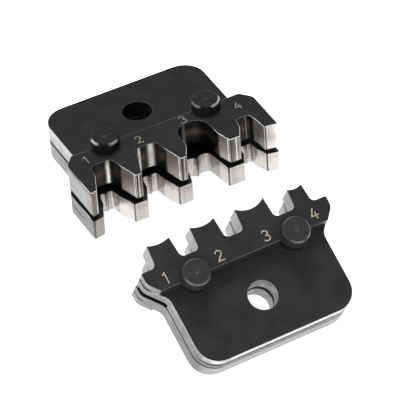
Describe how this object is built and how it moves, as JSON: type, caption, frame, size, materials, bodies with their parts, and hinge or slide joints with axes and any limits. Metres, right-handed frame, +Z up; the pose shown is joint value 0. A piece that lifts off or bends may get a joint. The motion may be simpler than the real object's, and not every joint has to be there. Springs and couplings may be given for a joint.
{
  "type": "crimp die set",
  "caption": "Crimp die set in two halves, a nest die and an anvil die with graded toothed profiles, each of two riveted plates with a retaining hole.",
  "frame": {"origin": "middle of the floor that the two halves cover as they lie, on the floor", "axes": "+X across the dies, parallel to the row of nests; +Y from the anvil die to the nest die; +Z up from the floor"},
  "size_m": [0.0444, 0.0728, 0.0178],
  "materials": {
    "nest_plate": "hardened steel with black oxide faces, bare ground edges and polished nest walls",
    "anvil_plate": "hardened steel with satin black oxide faces and bare wire-cut edges",
    "rivet": "black oxide turned steel, satin, worn bright at the rim"
  },
  "bodies": {
    "nest_die": {"nest_die_top_plate": "nest_plate", "nest_die_bottom_plate": "nest_plate", "nest_die_left_rivet": "rivet", "nest_die_right_rivet": "rivet"},
    "anvil_die": {"anvil_die_top_plate": "anvil_plate", "anvil_die_bottom_plate": "anvil_plate", "anvil_die_left_rivet": "rivet", "anvil_die_right_rivet": "rivet"}
  },
  "joints": [
    {"name": "die_closing", "type": "hinge", "parent": "nest_die", "child": "anvil_die", "pos_m": [0, -0.0016, -0.01846], "axis": [-0.9977, -0.0183, -0.0652], "range_deg": [0, 31.39]}
  ]
}
